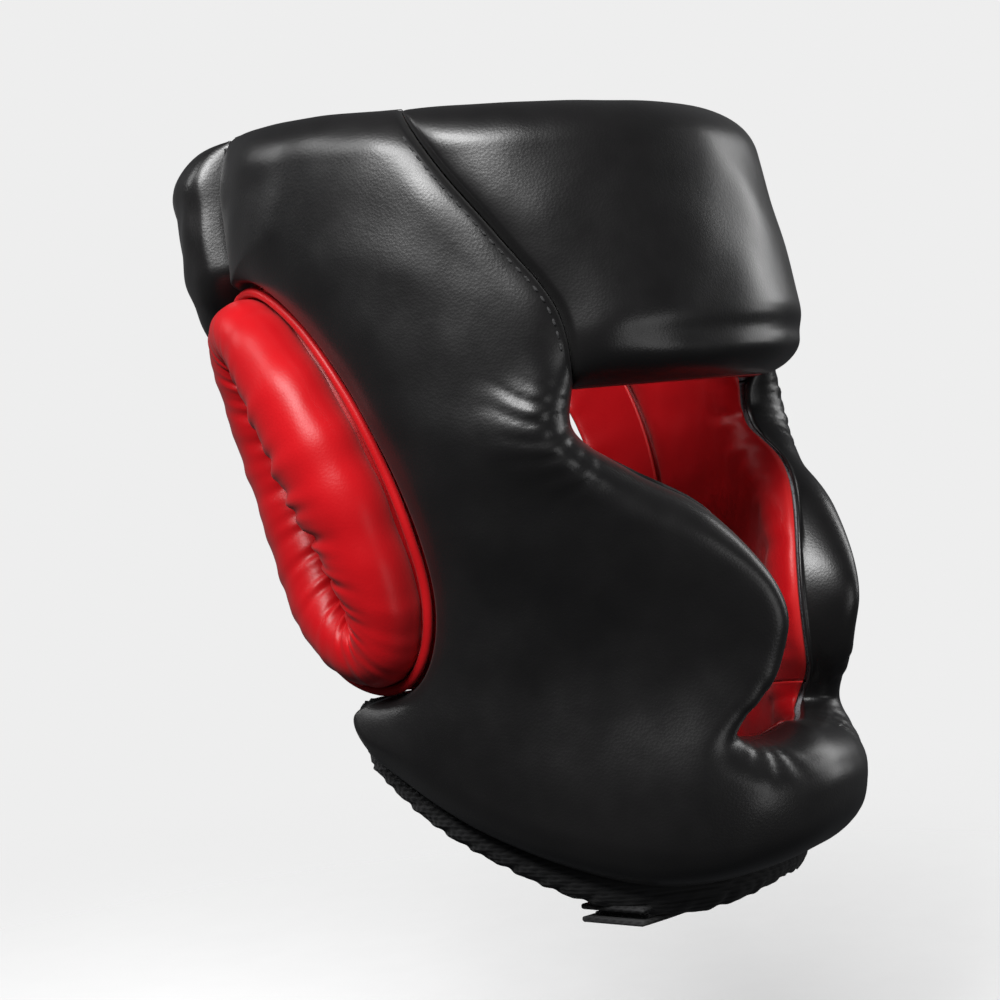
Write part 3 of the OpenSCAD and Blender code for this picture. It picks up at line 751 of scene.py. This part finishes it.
def rear_panel(s, q):
    """As face_panel, at shares s from the front edge to the back edge and q up."""
    q, s = np.meshgrid(q, s, indexing="ij")
    guess = REAR_Z0 + (RIM_BACK - REAR_Z0) * q
    u0 = REAR_LOW_U0 + (REAR_U0 - REAR_LOW_U0) * blend(REAR_CUT[0], REAR_CUT[1], guess)
    u = u0 + (REAR_U1 - u0) * s
    z = REAR_Z0 + (rim_z(u) - REAR_Z0) * q
    width = np.linalg.norm(seam_point(u0, z) - seam_point(np.full_like(z, REAR_U1), z), axis=-1)
    near, far = s * width, (1 - s) * width
    ends = roll(rim_z(u) - z, EDGE_ROLL) * roll(z - REAR_Z0, EDGE_ROLL - 2)
    side = (0.3 + 0.7 * roll(near, EDGE_ROLL)) * roll(near, 2.5) * roll(far, EDGE_ROLL - 4)
    p, n = seam_point(u, z), seam_normal(u, z)
    edge = roll(near, 8) * roll(far, 8) * ends
    out = PAD * ends * side + 0.8 * edge * dents(p + n * 10, 38.0)
    out = out - REAR_HOLLOW * edge * bump(u, z, REAR_HOLLOW_AT, REAR_HOLLOW_REACH)
    inside = INNER * ends * roll(near, 10) * roll(far, 10) + 0.4 * edge * dents(p, 30.0)
    return p, n, np.maximum(out, LEATHER), np.maximum(inside, LEATHER + SEAM_GAP)


def rear_pieces(side, sign):
    body = f"rear_pad_{side}"
    p, n, out, inside = rear_panel(spread(80, 0.7), spread(110, 0.7))
    p, n = flipped(p, sign), flipped(n, sign)
    cover = skin(f"rear_cover_skin_{side}", p + n * out[..., None], n)
    finish_piece(cover, body, BLACK, "black_leather", f"rear_cover_{side}", fill=0.75)
    lining = skin(f"rear_lining_skin_{side}", p - n * inside[..., None], -n)
    finish_piece(lining, body, RED, "red_leather", f"rear_lining_{side}")
    columns = FOAM_COLUMNS[0] + FOAM_COLUMNS[1] * spread(26, 0.6)
    p, n, out, inside = rear_panel(columns, 0.02 + 0.96 * spread(36, 0.6))
    p, n = flipped(p, sign), flipped(n, sign)
    foam_block(f"rear_foam_core_{side}", p, n, out, inside, f"rear_foam_{side}", body)


def hinge_web_piece(side, sign):
    """Leather web across the valley between the side panel and the rear pad."""
    z, k = np.meshgrid(np.linspace(WEB_Z0, RIM_BACK - 3, 60), np.linspace(0, 1, 24), indexing="ij")
    u = WEB_U0 + k * WEB_TURN
    sag = 3.6 - 2.2 * np.sin(k * math.pi) + 0.35 * np.sin(z * 1.1 + 3 * k) * np.sin(k * math.pi)
    p, n = seam_point(u, z), seam_normal(u, z)
    points = flipped(p + n * sag[..., None], sign)
    obj = skin(f"hinge_web_leather_{side}", points, flipped(n, sign))
    solid_apply(obj)
    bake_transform(obj)
    paint(obj, BLACK)
    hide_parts(f"hinge_web_{side}")


def solid_apply(obj):
    """Applies an object's modifiers to its mesh."""
    graph = bpy.context.evaluated_depsgraph_get()
    mesh = bpy.data.meshes.new_from_object(obj.evaluated_get(graph))
    obj.modifiers.clear()
    obj.data = mesh
    for p in mesh.polygons:
        p.use_smooth = True


# -------------------- jaw binding
# how far the tape starts under the cover, its width, its extra width under the chin, its thickness
BINDING_TUCK, BINDING_WIDTH, BINDING_FLARE, BINDING_T = 1.5, 8.5, 6.5, 1.6


def binding_piece(side, sign):
    """Gathered tape below the lower edge, from behind the ear ring to the middle of the chin."""
    along, across = np.linspace(RING_END_SHARE, 1.0, 520), np.linspace(0, 1, 22)
    t, k = np.meshgrid(along, across, indexing="ij")
    edge, inner = outer_edge(t), curve(INNER_EDGE, t)
    away = edge + (inner - edge) * 0.04
    p = seam_point(edge[..., 0], edge[..., 1])
    n = seam_normal(edge[..., 0], edge[..., 1])
    down = unit(p - seam_point(away[..., 0], away[..., 1]))
    run = (t - RING_END_SHARE) * 520
    full = blend(*BINDING_SHARES[:2], t) * (1 - 0.6 * blend(*BINDING_SHARES[2:], t))
    ruffle = (0.3 + 0.7 * full) * ripple(run * 1.3)
    drop = -BINDING_TUCK + k * (BINDING_WIDTH + BINDING_FLARE * full + 0.4 * ruffle)
    depth = 4.0 - 2.0 * k + 3.0 * full * np.sin(math.pi * k) + 0.4 * ruffle * k
    points = flipped(p + down * drop[..., None] + n * depth[..., None], sign)
    obj = skin(f"jaw_binding_tape_{side}", points, flipped(n, sign), BINDING_T)
    finish_piece(obj, "shell", WEBBING, "webbing", f"jaw_binding_{side}")


# -------------------- stitches
def stitches(name, path, outward, body, material, pitch=4.2, length=2.9, radius=0.42):
    """Row of short threads lying on a surface along a path of points in millimetres."""
    steps = np.linalg.norm(np.diff(path, axis=0), axis=1)
    place = np.concatenate([[0], np.cumsum(steps)])
    count = int(place[-1] // pitch)
    points, faces = [], []
    rings, sides = 7, 8
    for c in range(count):
        start = (c + 0.5) * pitch - length / 2
        at = start + length * np.linspace(0, 1, rings)
        line = np.stack([np.interp(at, place, path[:, i]) for i in range(3)], axis=-1)
        up = unit(np.stack([np.interp(at, place, outward[:, i]) for i in range(3)], axis=-1))
        along = unit(np.gradient(line, axis=0))
        side = np.cross(along, up)
        base = len(points)
        for j in range(rings):
            x = 2 * j / (rings - 1) - 1
            r = radius * math.sqrt(max(1 - x**4, 0.02))
            centre = line[j] + up[j] * (radius * 0.5 - 0.7 * radius * x * x)
            for k in range(sides):
                f = 2 * math.pi * k / sides
                points.append(centre + side[j] * r * math.cos(f) + up[j] * r * math.sin(f))
        for j in range(rings - 1):
            for k in range(sides):
                a, b = base + j * sides + k, base + j * sides + (k + 1) % sides
                faces.append((a, b, b + sides, a + sides))
        faces.append(tuple(base + k for k in reversed(range(sides))))
        faces.append(tuple(base + (rings - 1) * sides + k for k in range(sides)))
    obj = make_mesh(name, np.array(points), faces)
    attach(obj, body)
    return paint(obj, material)


SEAM_STITCH_SHARE, SEAM_STITCH_LOW, SEAM_STITCH_HIGH = 0.035, 48, 128  # share from the seam, heights


def seam_stitches():
    """Topstitching on the side panels, along their seams with the forehead."""
    for side, sign in SIDES:
        share = np.linspace(1.0, 0.6, 200)
        across = np.array([SEAM_STITCH_SHARE, SEAM_STITCH_SHARE + 0.001])
        p, n, out, _ = face_panel(sign * share, across)
        path, up = p[:, 0] + n[:, 0] * out[:, 0:1], n[:, 0]
        keep = (path[:, 2] > SEAM_STITCH_LOW) & (path[:, 2] < SEAM_STITCH_HIGH)
        stitches(f"seam_stitches_{side}", path[keep], up[keep], "shell", THREAD)


# -------------------- straps
def band(name, centre, across, up, width, thickness):
    """Flat band with rounded edges along centre points, with its width and thickness directions."""
    half, r = width / 2, thickness / 2
    flat = np.linspace(half - r, -half + r, 24)[1:-1]
    turn = np.radians(np.linspace(-90, 90, 7))
    side = np.concatenate([half - r + r * np.cos(turn), flat])
    rise = np.concatenate([r * np.sin(turn), np.full(len(flat), r)])
    side, rise = np.concatenate([side, -side])[:, None], np.concatenate([rise, -rise])[:, None]
    points = centre[:, None] + across[:, None] * side + up[:, None] * rise
    rows, cols = points.shape[:2]
    faces = facing(points, grid_faces(rows, cols, False, True), points - centre[:, None])
    first, last = list(range(cols)), list(range((rows - 1) * cols, rows * cols))
    a, b, c = points[0, 0], points[0, cols // 3], points[0, 2 * cols // 3]
    outward = np.dot(np.cross(b - a, c - a), centre[0] - centre[1]) > 0
    ends = [tuple(first), tuple(reversed(last))] if outward else [tuple(reversed(first)), tuple(last)]
    return make_mesh(name, points.reshape(-1, 3), faces + ends)


def bent(obj, a, b, start, end, material, slot, *nodes):
    """A band baked where it lies and painted, with its CAD parts hidden; a, b, start and end are not used.
    """
    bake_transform(obj)
    paint(obj, material)
    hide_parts(*nodes)


WEB, HOOK = (WEBBING, "webbing"), (PILE, "hook_tape")
STRAP_T, PATCH_T, GAP = 2.0, 1.0, 0.5  # thickness of a strap and a patch, gap between patches
PATCH_EDGE = 4.0  # how much narrower than its strap a patch is
HOOK_LEVEL = PATCH_T + GAP
STRAP_LEVEL = HOOK_LEVEL + PATCH_T
REAR_STRAP_Z, REAR_STRAP_W = 86.0, 46.0
REAR_LOW, REAR_HIGH = 16.5, PAD + 0.35  # height of the strap over the valley and the pads


def rear_line(u, level):
    """Middle of the rear strap at angle u, with the directions of its width and thickness."""
    z = np.full_like(u, REAR_STRAP_Z)
    lift = REAR_LOW + (REAR_HIGH - REAR_LOW) * blend(4, 18, np.abs(u - 180)) + level
    n = seam_normal(u, z)
    rise = unit(seam_point(u, z + REAR_STRAP_W / 2) - seam_point(u, z - REAR_STRAP_W / 2))
    return seam_point(u, z) + n * lift[:, None], rise, n


def rear_band(name, u0, u1, level, thickness, width=REAR_STRAP_W):
    u = np.linspace(u0, u1, 90)
    centre, rise, n = rear_line(u, level + thickness / 2)
    return band(name, centre, rise, n, width, thickness)


# half length, place and height of the ends, fall in the middle, steps along the strap and its width
CHIN_X, CHIN_Y, CHIN_Z, CHIN_SAG, CHIN_STEPS, CHIN_W = 57.0, -70.0, -138.5, 4.0, 20, 25.0
CROWN_X, CROWN_Y, CROWN_Z, CROWN_SAG, CROWN_STEPS, CROWN_W = 76.0, 0.0, 121.0, 14.0, 24, 32.0


def chin_point(step, drop):
    x = CHIN_X * (2 * np.asarray(step, float) / CHIN_STEPS - 1)
    z = CHIN_Z - CHIN_SAG * np.cos(math.pi / 2 * x / CHIN_X) - drop
    return np.stack([x, np.full_like(x, CHIN_Y), z], axis=-1)


def crown_point(step, lift):
    x = CROWN_X * (2 * np.asarray(step, float) / CROWN_STEPS - 1)
    z = CROWN_Z - CROWN_SAG * np.cos(math.pi / 2 * x / CROWN_X) + lift
    return np.stack([x, np.full_like(x, CROWN_Y), z], axis=-1)


def flat_band(name, centre, width, thickness):
    """Band across the head, its width along Y."""
    along = unit(np.gradient(centre, axis=0))
    across = np.tile(np.array([0.0, 1.0, 0.0]), (len(centre), 1))
    return band(name, centre, across, np.cross(along, across), width, thickness)


def chin_band(name, first, last, drop, thickness, width=CHIN_W):
    centre = chin_point(np.linspace(first, last, 90), drop + thickness / 2)
    return flat_band(name, centre, width, thickness)


def crown_band(name, first, last, lift, thickness, width=CROWN_W):
    centre = crown_point(np.linspace(first, last, 90), lift + thickness / 2)
    return flat_band(name, centre, width, thickness)


def box_stitches(name, corners, outward, body):
    """Stitched box with a cross in it, through four corners given in order."""
    a, b, c, d = corners
    for k, (start, end) in enumerate(((a, b), (b, c), (c, d), (d, a), (a, c), (d, b))):
        line = start + (end - start) * np.linspace(0, 1, 40)[:, None]
        up = np.tile(np.asarray(outward, float), (40, 1))
        stitches(f"{name}_{k}", line, up, body, THREAD, pitch=2.6, length=1.8, radius=0.3)


def patches(name, make, first, last, width):
    """Loop patch on the tab and hook patch on the strap, between two steps along it."""
    loops = make(f"{name}_loop_pile", first, last, STRAP_T, PATCH_T, width)
    finish_piece(loops, "shell", *HOOK, f"{name}_loop_patch")
    hooks = make(f"{name}_hook_pile", first, last, STRAP_T + HOOK_LEVEL, PATCH_T, width)
    finish_piece(hooks, f"{name}_strap", *HOOK, f"{name}_hook_patch")


def end_stitches(name, line, half, outward):
    """Stitched box on the sewn end of a strap, half of its width either side of a line."""
    reach = np.array([0, half, 0])
    corners = (line[0] - reach, line[1] - reach, line[1] + reach, line[0] + reach)
    box_stitches(name, corners, outward, "shell")


def rear_straps():
    patch_w = REAR_STRAP_W - PATCH_EDGE
    tab = rear_band("rear_tab_webbing", 164, 172.6, 0, STRAP_T)
    finish_piece(tab, "rear_pad_right", *WEB, "rear_strap_tab")
    strap = rear_band("rear_strap_webbing", 165.2, 209, STRAP_LEVEL, STRAP_T)
    fold, _, _ = rear_line(np.array([171.5, 175.5]), STRAP_LEVEL)
    bent(strap, "rear_pad_right", "rear_strap", fold[0], fold[1], *WEB, "rear_strap")
    hooks = rear_band("rear_hook_pile", 191, 206, HOOK_LEVEL, PATCH_T, patch_w)
    finish_piece(hooks, "rear_strap", *HOOK, "rear_hook_patch")
    loops = rear_band("rear_loop_pile", 191, 206, 0, PATCH_T, patch_w)
    finish_piece(loops, "rear_pad_left", *HOOK, "rear_loop_patch")
    line, rise, n = rear_line(np.array([165.9, 170.6]), STRAP_LEVEL + STRAP_T)
    high, low = line + rise * 19, line - rise * 19
    box_stitches("rear_box_stitch", (low[0], low[1], high[1], high[0]), n[0], "rear_pad_right")


def chin_straps():
    level = STRAP_T + STRAP_LEVEL
    finish_piece(chin_band("chin_tab_webbing", 0, 5, 0, STRAP_T), "shell", *WEB, "chin_strap_tab")
    patches("chin", chin_band, 1, 4.7, CHIN_W - PATCH_EDGE)
    strap = chin_band("chin_strap_webbing", 0, 19.9, level, STRAP_T)
    fold = chin_point(np.array([18.25, 17.4]), level)
    bent(strap, "shell", "chin_strap", fold[0], fold[1], *WEB, "chin_strap")
    anchor = chin_band("chin_anchor_webbing", 18.3, CHIN_STEPS, 0, level - 0.1)
    finish_piece(anchor, "shell", *WEB, "chin_anchor")
    line = chin_point(np.array([18.45, 19.7]), level + STRAP_T)
    end_stitches("chin_box_stitch", line, 9.5, (0, 0, -1))


def crown_straps():
    level = STRAP_T + STRAP_LEVEL
    finish_piece(crown_band("crown_tab_webbing", 0, 7, 0, STRAP_T), "shell", *WEB, "crown_tab")
    patches("crown", crown_band, 2, 6.7, CROWN_W - PATCH_EDGE)
    strap = crown_band("crown_strap_webbing", 1, CROWN_STEPS, level, STRAP_T)
    fold = crown_point(np.array([22.3, 21.4]), level)
    bent(strap, "shell", "crown_strap", fold[0], fold[1], *WEB, "crown_strap", "crown_anchor")
    line = crown_point(np.array([22.5, 23.6]), level + STRAP_T)
    end_stitches("crown_box_stitch", line, 12.0, (0, 0, 1))


# -------------------- stage, lights and camera
VIEW_TURN, VIEW_RISE, VIEW_TILT = 56.0, 2.5, 5.0  # degrees from the front, up, and of roll
VIEW_DISTANCE, LENS, SENSOR = 0.750, 70.2, 36.0  # metres, millimetres, millimetres
FLOOR_HALF, FLOOR_Z = 3.0, -0.26  # metres
BACKDROP = (0.855, 0.855, 0.855, 1)


def camera_axes():
    """Unit vectors to the camera, to its right and up, level with the picture."""
    a, e = math.radians(VIEW_TURN), math.radians(VIEW_RISE)
    back = Vector((-math.sin(a) * math.cos(e), -math.cos(a) * math.cos(e), math.sin(e)))
    right = (-back).cross(Vector((0, 0, 1))).normalized()
    up = right.cross(-back)
    r = math.radians(VIEW_TILT)
    return back, right * math.cos(r) - up * math.sin(r), up * math.cos(r) + right * math.sin(r)


def make_camera():
    back, right, up = camera_axes()
    data = bpy.data.cameras.new("camera")
    data.lens = LENS
    data.sensor_width = SENSOR
    data.clip_start = 0.01
    camera = show(bpy.data.objects.new("camera", data))
    turn = Matrix(np.array([right, up, back]).T.tolist())
    camera.rotation_mode = "QUATERNION"
    camera.matrix_world = Matrix.Translation(back * VIEW_DISTANCE) @ turn.to_4x4()
    bpy.context.scene.camera = camera


# each light: metres toward the camera, to its right and up, size in metres, watts, height aimed at
LIGHTS = {
    "key": ((0.7, -0.75, 1.0), (1.1, 0.45), 8, 0.06),
    "front": ((0.95, -0.06, 0.85), (0.5, 0.35), 10, 0.02),
    "front_left": ((0.85, -0.4, 0.7), (0.5, 0.35), 9, 0.02),
    "back_left": ((-0.15, -1.1, 0.7), (0.4, 0.4), 2.0, 0.09),
    "rim": ((-0.25, 1.0, 0.25), (0.25, 0.5), 1.3, 0.05),
    "high_rim": ((-0.45, 0.85, 0.45), (0.2, 0.4), 1.2, 0.07),
    "low": ((0.7, 0.8, -0.1), (0.3, 0.5), 0.9, -0.05),
}


def area_light(name, place, size, power, height):
    """Area light at place that looks at the given height over the origin."""
    data = bpy.data.lights.new(name, "AREA")
    data.shape = "RECTANGLE"
    data.size, data.size_y = size
    data.energy = power
    light = show(bpy.data.objects.new(name, data))
    light.location = place
    light.rotation_mode = "QUATERNION"
    light.rotation_quaternion = (Vector((0, 0, height)) - place).to_track_quat("-Z", "Y")


def make_lights():
    back, right, _ = camera_axes()
    for name, ((near, aside, high), size, power, height) in LIGHTS.items():
        place = back * near + right * aside + Vector((0, 0, high))
        area_light(name, place, size, power, height)


def make_world():
    """Pale backdrop for the camera and a faint cool light for everything else."""
    world = bpy.data.worlds.new("studio")
    bpy.context.scene.world = world
    world.use_nodes = True
    nodes, links = world.node_tree.nodes, world.node_tree.links
    seen = nodes["Background"]
    put(seen, Color=BACKDROP)
    lit = nodes.new("ShaderNodeBackground")
    put(lit, Color=(0.9, 0.93, 1.0, 1), Strength=0.04)
    path = nodes.new("ShaderNodeLightPath")
    mix = nodes.new("ShaderNodeMixShader")
    links.new(path.outputs["Is Camera Ray"], mix.inputs[0])
    links.new(lit.outputs["Background"], mix.inputs[1])
    links.new(seen.outputs["Background"], mix.inputs[2])
    links.new(mix.outputs["Shader"], nodes["World Output"].inputs["Surface"])


def floor_fade(nodes, links, place):
    """1 far from the middle and on the underside, 0 near the middle."""
    far = nodes.new("ShaderNodeVectorMath")
    far.operation = "LENGTH"
    links.new(place, far.inputs[0])
    fade = put(nodes.new("ShaderNodeMapRange"), From_Min=0.1, From_Max=0.9)
    fade.interpolation_type = "SMOOTHSTEP"
    links.new(far.outputs["Value"], fade.inputs["Value"])
    hidden = nodes.new("ShaderNodeMath")
    hidden.operation = "MAXIMUM"
    geometry = nodes.new("ShaderNodeNewGeometry")
    links.new(fade.outputs["Result"], hidden.inputs[0])
    links.new(geometry.outputs["Backfacing"], hidden.inputs[1])
    return hidden.outputs["Value"]


def floor_material():
    material, nodes, links, shader, place = new_material("pale_floor")
    grain = texture(nodes, links, place, "Noise", Scale=30.0, Detail=3.0)
    tone = ramp(nodes, links, grain.outputs["Fac"], (0.84, 0.84, 0.84), (0.87, 0.87, 0.87))
    links.new(tone, shader.inputs["Base Color"])
    put(shader, Roughness=0.9, Specular_IOR_Level=0.1, Emission_Color=(1, 1, 1, 1), Emission_Strength=0.36)
    clear = nodes.new("ShaderNodeBsdfTransparent")
    mix = nodes.new("ShaderNodeMixShader")
    links.new(floor_fade(nodes, links, place), mix.inputs[0])
    links.new(shader.outputs["BSDF"], mix.inputs[1])
    links.new(clear.outputs["BSDF"], mix.inputs[2])
    links.new(mix.outputs["Shader"], nodes["Material Output"].inputs["Surface"])
    return material


def make_floor():
    """Pale floor that fades out into the backdrop and can't be seen from below."""
    mesh = bpy.data.meshes.new("floor")
    corners = [(x * FLOOR_HALF, y * FLOOR_HALF, FLOOR_Z) for x, y in ((-1, -1), (1, -1), (1, 1), (-1, 1))]
    mesh.from_pydata(corners, [], [(0, 1, 2, 3)])
    floor = show(bpy.data.objects.new("floor", mesh))
    mesh.materials.append(floor_material())
    floor.visible_diffuse = False
    floor.visible_glossy = False


# -------------------- build
make_camera()
make_world()
make_lights()
make_floor()
face_pieces()
forehead_pieces()
for side, sign in SIDES:
    ring_pieces(side, sign)
    rear_pieces(side, sign)
    hinge_web_piece(side, sign)
    binding_piece(side, sign)
seam_stitches()
rear_straps()
chin_straps()
crown_straps()

bpy.context.scene.view_settings.view_transform = "Standard"
